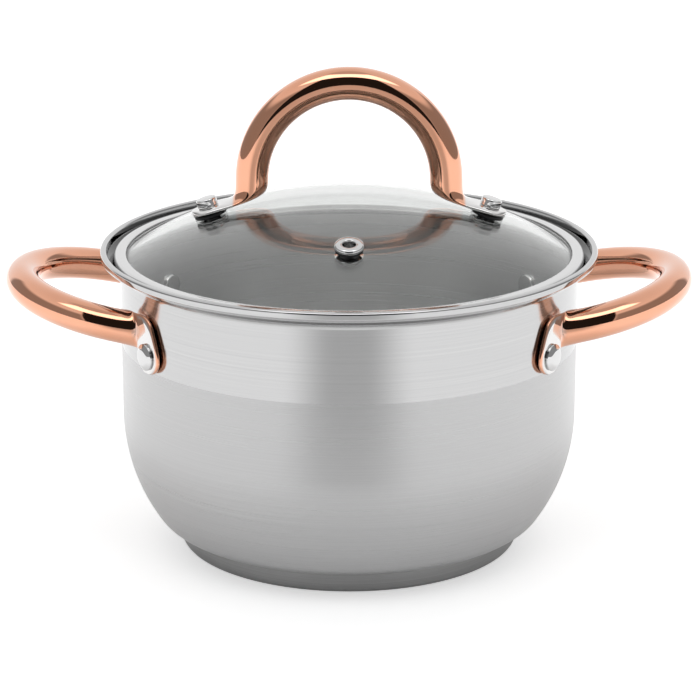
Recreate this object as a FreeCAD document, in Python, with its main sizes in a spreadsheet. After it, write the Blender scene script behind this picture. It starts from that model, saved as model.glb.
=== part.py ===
# Stock pot with two bent-tube side handles and a lift-off domed glass lid.
#
# Frame: millimetres, +Z up, origin at the centre of the pot's underside.
# The side handles stand out along -X (left) and +X (right). The front is -Y,
# where the lid's steam vent is.
#
# Pieces: a thin turned pot shell on a capsule base (aluminium disc in a steel
# cup), two hollow tube handles whose pressed ends are riveted to the wall, and
# a lid of domed glass in a steel rim band, with its own tube handle riveted
# through the glass on silicone grommets, and a steam vent eyelet.

import FreeCAD, Part
import math
import os

import Sketcher

document = FreeCAD.newDocument("GlassLidPot")

# ---------------------------------------------------------------- dimensions

DIMENSIONS = {
    # pot shell
    "pot_radius": 90.6,
    "sheet": 0.7,
    "belly_top": 32.35,
    "belly_slope": 33.5,
    "belly_upper_bend": 71.4,
    "belly_lower_bend": 11.2,
    "flare_height": 113.6,
    "flare_angle": 31.0,
    "flare_bend": 2.5,
    "lip_radius": 98.3,
    "lip_height": 121.0,
    "bead_width": 2.5,
    # capsule base
    "base_height": 8.6,
    "base_radius": 68.0,
    "base_seam": 0.5,
    "base_cup_sheet": 0.8,
    "base_cup_bend": 2.0,
    # tube handles
    "tube_radius": 6.5,
    "tube_wall": 1.0,
    "pad_thickness": 2.6,
    "pad_radius": 7.5,
    "foot_length": 5.5,
    "knee_back": 3.5,
    "knee_rise": 8.0,
    "side_loop_radius": 40.4,
    "side_loop_tilt": 12.4,
    "side_loop_height": 99.6,
    "side_loop_reach": 90.2,
    "side_rivet_angle": 34.0,
    "side_rivet_height": 90.3,
    "side_rivet_head": 5.2,
    "rivet_shank": 2.5,
    # lid
    "dome_radius": 183.7,
    "dome_height": 141.0,
    "glass": 4.0,
    "glass_radius": 88.95,
    "band_radius": 92.9,
    "band_top": 119.3,
    "band_skirt": 108.3,
    "lid_loop_radius": 38.2,
    "lid_loop_height": 147.6,
    "fixing_circle": 54.4,
    "fixing_hole": 3.6,
    "grommet_flange": 1.45,
    "lid_rivet_head": 4.1,
    "vent_ring": 5.7,
    "vent_bore": 2.4,
}


class Size:
    """A length or angle that knows its number and its spreadsheet formula."""

    def __init__(self, number, formula):
        self.number = number
        self.formula = formula

    def join(self, sign, other, number):
        return Size(number, f"({self.formula} {sign} {size(other).formula})")

    def __add__(self, other):
        return self.join("+", other, self.number + size(other).number)

    def __sub__(self, other):
        return self.join("-", other, self.number - size(other).number)

    def __mul__(self, other):
        return self.join("*", other, self.number * size(other).number)

    def __truediv__(self, other):
        return self.join("/", other, self.number / size(other).number)


def size(value):
    """Any number as a Size."""
    return value if isinstance(value, Size) else Size(float(value), repr(float(value)))


def tangent(angle):
    return Size(math.tan(math.radians(angle.number)), f"tan({angle.formula})")


def cosine(angle):
    return Size(math.cos(math.radians(angle.number)), f"cos({angle.formula})")


sheet = document.addObject("Spreadsheet::Sheet", "Dimensions")
for row, (alias, number) in enumerate(DIMENSIONS.items(), start=1):
    sheet.set(f"A{row}", alias)
    sheet.set(f"B{row}", str(number))
    sheet.setAlias(f"B{row}", alias)
document.recompute()


def dimension(alias):
    return Size(float(sheet.get(alias)), f"Dimensions.{alias}")


# ------------------------------------------------------------------- helpers

NODES = []


def new_body(label):
    body = document.addObject("PartDesign::Body", label)
    body.Label = label
    NODES.append(body)
    return body


def upright_sketch(body, name):
    """A sketch on the body's own XZ plane: x is the radius, y is the height."""
    sketch = body.newObject("Sketcher::SketchObject", name)
    plane = [part for part in body.Origin.OriginFeatures if part.Role == "XZ_Plane"][0]
    sketch.AttachmentSupport = [(plane, "")]
    sketch.MapMode = "FlatFace"
    return sketch


def pin_point(sketch, geometry, end, x, y):
    """Fix one point of a sketch at two sizes measured from the origin."""
    for kind, value in (("DistanceX", size(x)), ("DistanceY", size(y))):
        index = sketch.addConstraint(Sketcher.Constraint(kind, geometry, end, value.number))
        sketch.setExpression(f"Constraints[{index}]", value.formula)


def fix_radius(sketch, arc, radius):
    index = sketch.addConstraint(Sketcher.Constraint("Radius", arc, radius.number))
    sketch.setExpression(f"Constraints[{index}]", radius.formula)


def draw_outline(sketch, corners):
    """Close a loop of straight lines through the corners (x, y, bend radius).

    A corner with a bend radius of 0 stays sharp. At any other the two lines stop
    short of the corner, which stays as a construction point, and a tangent arc
    joins them.
    """
    places = [FreeCAD.Vector(size(x).number, size(y).number, 0) for x, y, bend in corners]
    count = len(corners)
    trims = []
    for index, (x, y, bend) in enumerate(corners):
        before = (places[index - 1] - places[index]).normalize()
        after = (places[(index + 1) % count] - places[index]).normalize()
        half_angle = before.getAngle(after) / 2
        trim = size(bend).number / math.tan(half_angle)
        trims.append((places[index] + before * trim, places[index] + after * trim, before + after, half_angle))
    lines = []
    for index in range(count):
        start = trims[index][1]
        end = trims[(index + 1) % count][0]
        lines.append(sketch.addGeometry(Part.LineSegment(start, end), False))
    for index, (x, y, bend) in enumerate(corners):
        line_in = lines[index - 1]
        line_out = lines[index]
        bend = size(bend)
        if bend.number == 0:
            sketch.addConstraint(Sketcher.Constraint("Coincident", line_in, 2, line_out, 1))
            pin_point(sketch, line_out, 1, x, y)
            continue
        arrive, leave, inward, half_angle = trims[index]
        centre = places[index] + inward.normalize() * (bend.number / math.sin(half_angle))
        middle = centre + (places[index] - centre).normalize() * bend.number
        arc = sketch.addGeometry(Part.Arc(arrive, middle, leave), False)
        ends = (1, 2) if sketch.getPoint(arc, 1).distanceToPoint(arrive) < 1e-6 else (2, 1)
        sketch.addConstraint(Sketcher.Constraint("Tangent", line_in, 2, arc, ends[0]))
        sketch.addConstraint(Sketcher.Constraint("Tangent", arc, ends[1], line_out, 1))
        fix_radius(sketch, arc, bend)
        corner = sketch.addGeometry(Part.Point(places[index]), True)
        pin_point(sketch, corner, 1, x, y)
        sketch.addConstraint(Sketcher.Constraint("PointOnObject", corner, 1, line_in))
        sketch.addConstraint(Sketcher.Constraint("PointOnObject", corner, 1, line_out))


def revolve_sketch(body, sketch):
    turned = body.newObject("PartDesign::Revolution", f"{body.Label}_revolution")
    turned.Profile = sketch
    turned.ReferenceAxis = (sketch, ["V_Axis"])
    turned.Angle = 360
    body.Tip = turned
    document.recompute()
    return turned


def turned_piece(label, corners, placement=FreeCAD.Placement()):
    """A body of revolution about its own Z axis, then put in its place."""
    body = new_body(label)
    sketch = upright_sketch(body, f"{label}_outline")
    draw_outline(sketch, corners)
    revolve_sketch(body, sketch)
    body.Placement = placement
    return body


def drill(body, name, radius, depth, placement):
    """A round hole that starts at the placement and runs along its +Z."""
    hole = body.newObject("PartDesign::SubtractiveCylinder", name)
    hole.setExpression("Radius", size(radius).formula)
    hole.setExpression("Height", size(depth).formula)
    hole.Placement = placement
    body.Tip = hole
    document.recompute()


# ---------------------------------------------------------- shared positions

pot_radius = dimension("pot_radius")
wall = dimension("sheet")
pot_inside = pot_radius - wall
shank = dimension("rivet_shank")
pad_thickness = dimension("pad_thickness")
RUNNING_GAP = 0.05
WALL_GAP = 0.15
BURIED = 0.4


def wall_placement(side, end, reach):
    """A frame on the wall at one handle rivet, with +Z pointing out of the pot.

    side is -1 for the left handle and 1 for the right one, end is -1 for the
    front rivet and 1 for the rear one, and reach is the distance from the axis.
    """
    angle = math.radians(dimension("side_rivet_angle").number)
    outward = FreeCAD.Vector(side * math.cos(angle), end * math.sin(angle), 0)
    place = outward * reach + FreeCAD.Vector(0, 0, dimension("side_rivet_height").number)
    return FreeCAD.Placement(place, FreeCAD.Rotation(FreeCAD.Vector(0, 0, 1), outward))


def dome_placement(turn, lift=0.0):
    """A frame on the glass at one fixing, with +Z along the dome's normal."""
    bulge = dimension("dome_radius").number
    tilt = math.asin(dimension("fixing_circle").number / bulge)
    outward = FreeCAD.Vector(math.cos(math.radians(turn)), math.sin(math.radians(turn)), 0)
    normal = outward * math.sin(tilt) + FreeCAD.Vector(0, 0, math.cos(tilt))
    centre = FreeCAD.Vector(0, 0, dimension("dome_height").number - bulge)
    place = centre + normal * (bulge + lift)
    return FreeCAD.Placement(place, FreeCAD.Rotation(FreeCAD.Vector(0, 0, 1), normal))


SIDES = {"left": -1, "right": 1}
ENDS = {"front": -1, "rear": 1}
DOME_TURNS = {"left": 180.0, "right": 0.0}
VENT_TURN = -90.0

# ----------------------------------------------------------------- pot shell


def make_pot_body():
    """Deep-drawn shell: flat floor, round belly, straight wall, flared beaded rim."""
    base_height = dimension("base_height")
    slope = dimension("belly_slope")
    belly_top = dimension("belly_top")
    upper_bend = dimension("belly_upper_bend")
    lower_bend = dimension("belly_lower_bend")
    flare_angle = dimension("flare_angle")
    flare_height = dimension("flare_height")
    flare_bend = dimension("flare_bend")
    lip_radius = dimension("lip_radius")
    lip_height = dimension("lip_height")
    lip_inside = lip_radius - dimension("bead_width")

    belly_foot = pot_radius - (belly_top - base_height) * tangent(slope)
    inner_belly_top = belly_top + wall * tangent(slope / 2)
    inner_foot = belly_foot - wall * tangent(size(45) - slope / 2)
    inner_flare = flare_height + wall / cosine(flare_angle) - wall * tangent(flare_angle)
    outer_flare_end = flare_height + (lip_radius - pot_radius) * tangent(flare_angle)
    inner_flare_end = inner_flare + (lip_inside - pot_inside) * tangent(flare_angle)

    body = turned_piece("pot_body", [
        (0, base_height, 0),
        (belly_foot, base_height, lower_bend),
        (pot_radius, belly_top, upper_bend),
        (pot_radius, flare_height, flare_bend),
        (lip_radius, outer_flare_end, 0.7),
        (lip_radius, lip_height, 1.0),
        (lip_inside, lip_height, 0.8),
        (lip_inside, inner_flare_end, 0.6),
        (pot_inside, inner_flare, flare_bend + wall),
        (pot_inside, inner_belly_top, upper_bend - wall),
        (inner_foot, base_height + wall, lower_bend - wall),
        (0, base_height + wall, 0),
    ])
    for side_name, side in SIDES.items():
        for end_name, end in ENDS.items():
            start = wall_placement(side, end, pot_radius.number - 8.0)
            drill(body, f"{side_name}_{end_name}_rivet_hole", shank + RUNNING_GAP, 16, start)


def make_capsule_base():
    """The heat-spreading disc brazed under the floor, and the steel cup around it."""
    height = dimension("base_height")
    radius = dimension("base_radius")
    cup_sheet = dimension("base_cup_sheet")
    bend = dimension("base_cup_bend")
    cup_top = height - dimension("base_seam")

    disc = document.addObject("Part::Cylinder", "heat_spreader_disc")
    disc.Label = "heat_spreader_disc"
    disc.setExpression("Radius", (radius - bend).formula)
    disc.setExpression("Height", (height - cup_sheet).formula)
    disc.setExpression("Placement.Base.z", cup_sheet.formula)
    NODES.append(disc)

    turned_piece("base_cap", [
        (0, 0, 0),
        (radius, 0, bend),
        (radius, cup_top, 0.3),
        (radius - cup_sheet, cup_top, 0),
        (radius - cup_sheet, cup_sheet, bend - cup_sheet),
        (0, cup_sheet, 0),
    ])


# -------------------------------------------------------------- tube handles


def station_wire(centre, across, through, half_width, half_depth):
    """One closed cross-section: a circle on the round tube, a flat oval on a pad."""
    oval = Part.Circle().toBSpline()
    for index, pole in enumerate(oval.getPoles(), start=1):
        oval.setPole(index, centre + across * (half_width * pole.x) + through * (half_depth * pole.y))
    return Part.Wire([oval.toShape()])


def loft_stations(stations, first_run, last_run):
    """Skin a solid over stations (outer point, inner point, half width).

    The outer and inner points lie on the two sides that a pressed end flattens.
    The width runs square to the line between them and to the run of the tube,
    which is given for both ends and read from its neighbours in between.
    """
    centres = [(outer + inner) / 2 for outer, inner, half_width in stations]
    between = [after - before for before, after in zip(centres, centres[2:])]
    runs = [first_run] + between + [last_run]
    wires = []
    for (outer, inner, half_width), centre, run in zip(stations, centres, runs):
        through = (outer - inner).normalize()
        across = through.cross(run).normalize()
        half_depth = (outer - inner).Length / 2
        wires.append(station_wire(centre, across, through, half_width, half_depth))
    return Part.makeLoft(wires, True, True)


def guide(start, control, end, part):
    """A point on the smooth curve from start to end that leans towards control."""
    return start * (1 - part) ** 2 + control * (2 * part * (1 - part)) + end * part ** 2


def pad_plate(rivet, facing, along, length):
    """The flat pad: a round eye at the rivet and a tongue back to the bend."""
    depth = pad_thickness.number
    width = dimension("pad_radius").number
    under = rivet - facing * (depth / 2)
    eye = Part.makeCylinder(width, depth, under, facing)
    tongue = Part.makeBox(length, width * 2, depth)
    back = along * -1
    side = facing.cross(back)
    axes = FreeCAD.Matrix(
        back.x, side.x, facing.x, under.x,
        back.y, side.y, facing.y, under.y,
        back.z, side.z, facing.z, under.z,
        0, 0, 0, 1,
    )
    corner = FreeCAD.Placement(FreeCAD.Vector(0, -width, 0), FreeCAD.Rotation())
    tongue.Placement = FreeCAD.Placement(axes).multiply(corner)
    return eye.fuse(tongue)


def bent_tube(loop, tube_radius):
    """A round bar along the loop's half circle."""
    centre, first, top, loop_radius = loop
    spine = Part.Arc(centre + first * loop_radius, centre + top * loop_radius, centre - first * loop_radius)
    section = Part.Circle(centre + first * loop_radius, top, tube_radius)
    face = Part.Face(Part.Wire([section.toShape()]))
    return Part.Wire([spine.toShape()]).makePipe(face)


def loop_end(loop):
    """The station where a loop's far end meets its pressed end."""
    centre, first, top, loop_radius = loop
    radius = dimension("tube_radius").number
    return (centre - first * (loop_radius + radius), centre - first * (loop_radius - radius), radius)


def pressed_end(loop, plate, meeting, facing, run, outer_lean, inner_lean):
    """One solid end: the bend that flattens from the loop into its pad plate.

    The bend's last section lies inside the plate at the meeting point, square
    to run. The two leans pull the bend's outer and inner sides off the straight
    line between its ends.
    """
    half_depth = facing * (pad_thickness.number / 2 - BURIED)
    outer, inner, round_width = loop_end(loop)
    flat_width = dimension("pad_radius").number - BURIED
    outer_guide = (outer, outer + outer_lean, meeting + half_depth)
    inner_guide = (inner, inner + inner_lean, meeting - half_depth)
    width_guide = (round_width, flat_width, flat_width)
    stations = [
        (guide(*outer_guide, part), guide(*inner_guide, part), guide(*width_guide, part))
        for part in (0, 0.25, 0.5, 0.75, 1)
    ]
    centre, first, top, loop_radius = loop
    return loft_stations(stations, top * -1, run).fuse(plate)


def tube_handle(label, loop, end, mirror_plane, holes, placement):
    """A hollow bent tube with two solid pressed ends, drilled for its rivets."""
    radius = dimension("tube_radius").number
    other = end.mirror(FreeCAD.Vector(0, 0, 0), mirror_plane)
    shape = bent_tube(loop, radius).fuse([end, other])
    shape = shape.cut(bent_tube(loop, radius - dimension("tube_wall").number))
    shape = shape.cut(holes)
    handle = document.addObject("Part::Feature", label)
    handle.Label = label
    handle.Shape = shape
    handle.Placement = placement
    NODES.append(handle)
    return handle


def rivet_hole(placement):
    hole = Part.makeCylinder(shank.number + RUNNING_GAP, 24.0)
    hole.Placement = placement
    return hole


def side_loop():
    """The half circle of the right-hand handle: centre, rear end, outermost way, radius."""
    tilt = math.radians(dimension("side_loop_tilt").number)
    outward = FreeCAD.Vector(math.cos(tilt), 0, math.sin(tilt))
    centre = FreeCAD.Vector(dimension("side_loop_reach").number, 0, dimension("side_loop_height").number)
    return centre, FreeCAD.Vector(0, 1, 0), outward, dimension("side_loop_radius").number


def side_end(loop):
    """The front end of the right-hand handle: it flattens along the wall.

    Its pad is a flat plate on the wall, round at the rivet below and round at
    the knee above, where the flattened tube runs into it from the side.
    """
    turn = math.radians(dimension("side_rivet_angle").number)
    facing = FreeCAD.Vector(math.cos(turn), -math.sin(turn), 0)
    forward = FreeCAD.Vector(-math.sin(turn), -math.cos(turn), 0)
    reach = pot_radius.number + WALL_GAP + pad_thickness.number / 2
    rivet = facing * reach + FreeCAD.Vector(0, 0, dimension("side_rivet_height").number)
    knee = rivet - forward * dimension("knee_back").number
    knee.z += dimension("knee_rise").number
    length = (rivet - knee).Length
    plate = pad_plate(rivet, facing, (rivet - knee) / length, length)
    knee_eye = Part.makeCylinder(
        dimension("pad_radius").number, pad_thickness.number, knee - facing * (pad_thickness.number / 2), facing
    )
    meeting = knee - forward * 2.0
    outer_lean = FreeCAD.Vector(-9.7, 0, -1.3)
    inner_lean = FreeCAD.Vector(-3.1, 0, -0.6)
    return pressed_end(loop, plate.fuse(knee_eye), meeting, facing, forward, outer_lean, inner_lean)


def make_side_handles():
    loop = side_loop()
    holes = [rivet_hole(wall_placement(1, end, pot_radius.number - 6.0)) for end in ENDS.values()]
    for name, side in SIDES.items():
        facing = FreeCAD.Rotation(FreeCAD.Vector(0, 0, 1), 0 if side > 0 else 180)
        placement = FreeCAD.Placement(FreeCAD.Vector(0, 0, 0), facing)
        tube_handle(f"{name}_side_handle", loop, side_end(loop), FreeCAD.Vector(0, 1, 0), holes, placement)


def make_side_rivets():
    """Solid rivets: domed head outside the pad, low flat head inside the pot."""
    head = dimension("side_rivet_head")
    head_seat = wall + pad_thickness + WALL_GAP + 0.05
    for side_name, side in SIDES.items():
        for end_name, end in ENDS.items():
            turned_piece(f"{side_name}_{end_name}_rivet", [
                (0, -1.5, 0),
                (head - 0.2, -1.5, 0.9),
                (head - 0.2, -0.2, 0),
                (shank, -0.2, 0),
                (shank, head_seat, 0),
                (head, head_seat, 0),
                (head, head_seat + 0.9, 0.4),
                (head * 0.55, head_seat + 2.3, 3.0),
                (0, head_seat + 2.45, 0),
            ], wall_placement(side, end, pot_inside.number))


# ----------------------------------------------------------------------- lid


def make_lid_glass():
    """A spherical cap of even thickness with a ground edge and three holes."""
    bulge = dimension("dome_radius")
    glass = dimension("glass")
    edge = dimension("glass_radius")
    top = dimension("dome_height")
    centre_height = top - bulge

    body = new_body("lid_glass")
    sketch = upright_sketch(body, "lid_glass_outline")
    centre = FreeCAD.Vector(0, centre_height.number, 0)
    up = FreeCAD.Vector(0, 0, 1)
    arcs = []
    for radius in (bulge, bulge - glass):
        start = math.acos(edge.number / radius.number)
        circle = Part.Circle(centre, up, radius.number)
        arcs.append(sketch.addGeometry(Part.ArcOfCircle(circle, start, math.pi / 2), False))
        pin_point(sketch, arcs[-1], 3, 0, centre_height)
        fix_radius(sketch, arcs[-1], radius)
    for end, value in ((1, edge), (2, size(0))):
        corners = [sketch.getPoint(arc, end) for arc in arcs]
        line = sketch.addGeometry(Part.LineSegment(corners[0], corners[1]), False)
        sketch.addConstraint(Sketcher.Constraint("Coincident", line, 1, arcs[0], end))
        sketch.addConstraint(Sketcher.Constraint("Coincident", line, 2, arcs[1], end))
        sketch.addConstraint(Sketcher.Constraint("Vertical", line))
        index = sketch.addConstraint(Sketcher.Constraint("DistanceX", line, 1, value.number))
        sketch.setExpression(f"Constraints[{index}]", value.formula)
    revolve_sketch(body, sketch)
    turns = dict(DOME_TURNS, vent=VENT_TURN)
    for name, turn in turns.items():
        drill(body, f"{name}_hole", dimension("fixing_hole"), glass + 12, dome_placement(turn, -10.0))


def make_lid_rim_band():
    """Rolled rim over the glass edge, with a skirt that drops inside the pot."""
    radius = dimension("band_radius")
    top = dimension("band_top")
    skirt = dimension("band_skirt")
    edge = dimension("glass_radius") + RUNNING_GAP
    outside = edge + 0.4
    seat = dimension("flare_height") + 0.75
    seat_end = seat + (radius - outside) * tangent(dimension("flare_angle"))
    turned_piece("lid_rim_band", [
        (edge - 0.6, skirt, 0.25),
        (outside, skirt, 0.25),
        (outside, seat, 1.0),
        (radius, seat_end, 0.8),
        (radius, top, 1.3),
        (edge - 0.8, top, 0.4),
        (edge - 0.8, top - 0.78, 0),
        (edge, top - 1.2, 0),
        (edge, skirt + 5.0, 0),
        (edge - 0.6, skirt + 5.0, 0),
    ])


def lid_loop():
    """The half circle of the lid handle: centre, left end, topmost way, radius."""
    centre = FreeCAD.Vector(0, 0, dimension("lid_loop_height").number)
    return centre, FreeCAD.Vector(-1, 0, 0), FreeCAD.Vector(0, 0, 1), dimension("lid_loop_radius").number


def lid_end(loop):
    """The right foot: it flattens, turns outwards and lies above the dome."""
    seat = dome_placement(DOME_TURNS["right"], dimension("grommet_flange").number + pad_thickness.number / 2)
    facing = seat.Rotation.multVec(FreeCAD.Vector(0, 0, 1))
    along = seat.Rotation.multVec(FreeCAD.Vector(1, 0, 0))
    length = dimension("foot_length").number
    plate = pad_plate(seat.Base, facing, along, length)
    meeting = seat.Base - along * (length - 1.0)
    outer_lean = FreeCAD.Vector(-0.1, 0, -7.2)
    inner_lean = FreeCAD.Vector(-0.5, 0, -8.7)
    return pressed_end(loop, plate, meeting, facing, along, outer_lean, inner_lean)


def make_lid_handle():
    loop = lid_loop()
    holes = [rivet_hole(dome_placement(turn, -6.0)) for turn in DOME_TURNS.values()]
    tube_handle("lid_handle", loop, lid_end(loop), FreeCAD.Vector(1, 0, 0), holes, FreeCAD.Placement())


def make_lid_fixings():
    """At each foot a rivet, a silicone grommet in the glass and a washer below."""
    glass = dimension("glass")
    flange = dimension("grommet_flange")
    hole = dimension("fixing_hole")
    head = dimension("lid_rivet_head")
    head_seat = flange + pad_thickness + 0.05
    bore = shank + RUNNING_GAP
    for name, turn in DOME_TURNS.items():
        place = dome_placement(turn)
        washer_top = size(-0.15) - glass
        turned_piece(f"lid_grommet_{name}", [
            (bore, size(0) - glass, 0),
            (hole - RUNNING_GAP, size(0) - glass, 0),
            (hole - RUNNING_GAP, 0.05, 0),
            (hole * 1.8, 0.2, 0.3),
            (hole * 1.8, flange - 0.05, 0.3),
            (bore, flange - 0.05, 0),
        ], place)
        turned_piece(f"lid_washer_{name}", [
            (bore, washer_top - 1.1, 0),
            (hole * 1.65, washer_top - 1.1, 0.3),
            (hole * 1.65, washer_top, 0.3),
            (bore, washer_top, 0),
        ], place)
        turned_piece(f"lid_rivet_{name}", [
            (0, washer_top - 2.5, 0),
            (head - 0.2, washer_top - 2.5, 0.8),
            (head - 0.2, washer_top - 1.15, 0),
            (shank, washer_top - 1.15, 0),
            (shank, head_seat, 0),
            (head, head_seat, 0),
            (head, head_seat + 3.3, 0.8),
            (0, head_seat + 3.5, 0),
        ], place)


def make_steam_vent():
    """A rolled eyelet through the glass, on a silicone gasket, with a lock washer."""
    glass = dimension("glass")
    bore = dimension("vent_bore")
    ring = dimension("vent_ring")
    hole = dimension("fixing_hole")
    barrel = bore + 0.6
    gasket = 1.3
    place = dome_placement(VENT_TURN)
    washer_top = size(-0.1) - glass
    turned_piece("vent_gasket", [
        (barrel + RUNNING_GAP, size(0) - glass, 0),
        (hole - RUNNING_GAP, size(0) - glass, 0),
        (hole - RUNNING_GAP, 0.05, 0),
        (ring - 0.3, 0.15, 0.3),
        (ring - 0.3, gasket, 0.3),
        (barrel + RUNNING_GAP, gasket, 0),
    ], place)
    turned_piece("vent_washer", [
        (barrel + RUNNING_GAP, washer_top - 0.8, 0),
        (ring - 0.2, washer_top - 0.8, 0.2),
        (ring - 0.2, washer_top, 0.2),
        (barrel + RUNNING_GAP, washer_top, 0),
    ], place)
    turned_piece("vent_eyelet", [
        (bore, washer_top - 2.0, 0.4),
        (barrel + 1.5, washer_top - 2.0, 0.5),
        (barrel + 1.5, washer_top - 0.85, 0.3),
        (barrel, washer_top - 0.85, 0),
        (barrel, gasket + 0.05, 0),
        (ring, gasket + 0.05, 0.5),
        (ring, gasket + 2.0, 1.2),
        (bore, gasket + 2.0, 1.0),
    ], place)


# --------------------------------------------------------- build and write

make_pot_body()
make_capsule_base()
make_side_handles()
make_side_rivets()
make_lid_glass()
make_lid_rim_band()
make_lid_handle()
make_lid_fixings()
make_steam_vent()
document.recompute()

for item in document.Objects:
    troubles = [state for state in item.State if state in ("Invalid", "Error")]
    if troubles:
        raise RuntimeError(f"{item.Label} did not rebuild: {troubles}")

os.makedirs("parts", exist_ok=True)
for node in NODES:
    shape = node.Shape
    if shape.isNull() or not shape.isValid() or len(shape.Solids) != 1:
        raise RuntimeError(f"{node.Label} is not one valid solid")
    shape.exportStep(f"parts/{node.Label}.step")
    box = shape.BoundBox
    print(f"{node.Label}: {shape.Volume:.0f} mm3, z {box.ZMin:.1f} to {box.ZMax:.1f}")
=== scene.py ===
# %% [markdown]
# # A stock pot with a glass lid, built piece by piece
#
# The object is a small round pot of brushed stainless steel with two bent-tube
# handles plated in copper. A domed glass lid with a steel rim sits inside the
# pot's flared lip. Its shape was settled in the CAD model, so this lesson starts
# from that model: every piece made here takes the place of one CAD part and
# rides on the same body, which keeps the lid lifting off as one.

import math

import bmesh
import bpy
from mathutils import Matrix, Vector


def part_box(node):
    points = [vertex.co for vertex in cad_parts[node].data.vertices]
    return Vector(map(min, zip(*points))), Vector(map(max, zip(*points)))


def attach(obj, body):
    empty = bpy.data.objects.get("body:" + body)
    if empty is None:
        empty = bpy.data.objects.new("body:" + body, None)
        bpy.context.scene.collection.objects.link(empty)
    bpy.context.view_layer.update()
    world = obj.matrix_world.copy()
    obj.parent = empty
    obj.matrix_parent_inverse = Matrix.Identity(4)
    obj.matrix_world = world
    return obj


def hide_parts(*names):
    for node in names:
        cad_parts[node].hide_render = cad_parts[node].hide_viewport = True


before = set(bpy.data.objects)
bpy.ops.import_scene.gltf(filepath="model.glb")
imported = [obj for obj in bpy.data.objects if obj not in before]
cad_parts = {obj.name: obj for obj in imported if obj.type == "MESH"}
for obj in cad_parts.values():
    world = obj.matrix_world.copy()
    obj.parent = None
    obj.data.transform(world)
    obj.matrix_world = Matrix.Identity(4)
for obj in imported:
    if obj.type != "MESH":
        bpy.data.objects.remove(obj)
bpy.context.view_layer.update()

# %% [markdown]
# ## Lengths
#
# The CAD model says where everything is. Boxes of its parts give the main radii
# and heights, so nothing here has to be fitted. Lengths inside a piece, such as
# the roll of a bead, are written in millimetres and turned into metres once.

# %% Main lengths from the CAD parts
MM = 0.001
UP = Vector((0, 0, 1))


def top_of(node):
    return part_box(node)[1].z / MM


def bottom_of(node):
    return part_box(node)[0].z / MM


def reach_of(node):
    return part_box(node)[1].x / MM


def middle_of(node):
    low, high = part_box(node)
    return (low + high) / 2


lip_radius = reach_of("pot_body")
lip_height = top_of("pot_body")
base_height = bottom_of("pot_body")
base_radius = reach_of("base_cap")
base_top = top_of("base_cap")
band_radius = reach_of("lid_rim_band")
band_top = top_of("lid_rim_band")
band_skirt = bottom_of("lid_rim_band")
dome_height = top_of("lid_glass")
glass_radius = reach_of("lid_glass")
pot_radius = 90.6
sheet = 0.7
print(f"pot lip {lip_radius:.1f} mm across the axis at {lip_height:.1f} mm high")

# %% [markdown]
# ## Clearing the desk before each piece
#
# Operators act on whatever is selected, and the loaded CAD parts are selected.
# So each piece starts by deselecting everything, and ends by taking its place
# into its mesh, so that its object sits at the origin like a CAD part.

# %% Start, select and finish a piece


def start_piece():
    """Leave edit mode and deselect everything."""
    if bpy.context.object and bpy.context.object.mode == "EDIT":
        bpy.ops.object.mode_set(mode="OBJECT")
    bpy.ops.object.select_all(action="DESELECT")


def select_points(chosen):
    """In edit mode, select the points for which chosen(point in metres) is true."""
    mesh = bmesh.from_edit_mesh(bpy.context.object.data)
    bpy.context.tool_settings.mesh_select_mode = (True, False, False)
    place = bpy.context.object.matrix_world
    for point in mesh.verts:
        point.select = chosen(place @ point.co)
    mesh.select_flush_mode()
    bmesh.update_edit_mesh(bpy.context.object.data)


def tidy_surface():
    """Merge doubled points and turn every face outwards."""
    bpy.ops.mesh.select_all(action="SELECT")
    bpy.ops.mesh.remove_doubles(threshold=0.002 * MM)
    bpy.ops.mesh.normals_make_consistent(inside=False)
    bpy.ops.object.mode_set(mode="OBJECT")


def finish_piece(name, body, node, crease=40, place=Matrix.Identity(4)):
    """Name the piece, put its place in its mesh and let it stand for its CAD part."""
    piece = bpy.context.object
    piece.name = name
    piece.data.name = name
    piece.matrix_world = place @ piece.matrix_world
    bpy.ops.object.transform_apply(location=True, rotation=True, scale=True)
    bpy.ops.object.shade_smooth_by_angle(angle=math.radians(crease))
    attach(piece, body)
    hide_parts(node)
    print(f"{name}: {len(piece.data.polygons)} faces")
    return piece


# %% [markdown]
# ## Drawing a section with a pen, then turning it
#
# Pots, lids, rivets and rings are all turned shapes: half of the section, spun
# about the axis. The section could be a list of many points, but a maker draws
# it as straight runs and rounded corners. Here a single point is the pen. It is
# extruded along each run, and spun about a bend's own centre at each corner, so
# the bends are true arcs and the surface shows no kink when it reflects.

# %% The pen and the lathe
LONGEST_RUN = 3.0
LONGEST_CHORD = 0.9


def move_pen(start, end):
    """Extrude the pen in a straight line, in pieces short enough to shade well."""
    run = end - start
    pieces = max(1, math.ceil(run.length / LONGEST_RUN))
    for _ in range(pieces):
        step = run / pieces * MM
        bpy.ops.mesh.extrude_region_move(TRANSFORM_OT_translate={"value": step})


def bend_pen(corner, back, ahead, radius):
    """Turn the pen about the centre of the rounded corner between two directions."""
    turn = math.pi - back.angle(ahead)
    centre = corner + (back + ahead).normalized() * (radius / math.cos(turn / 2))
    chords = max(2, math.ceil(radius * turn / LONGEST_CHORD), math.ceil(math.degrees(turn) / 12))
    bpy.ops.mesh.spin(steps=min(chords, 40), angle=turn, center=centre * MM, axis=ahead.cross(-back))


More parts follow.
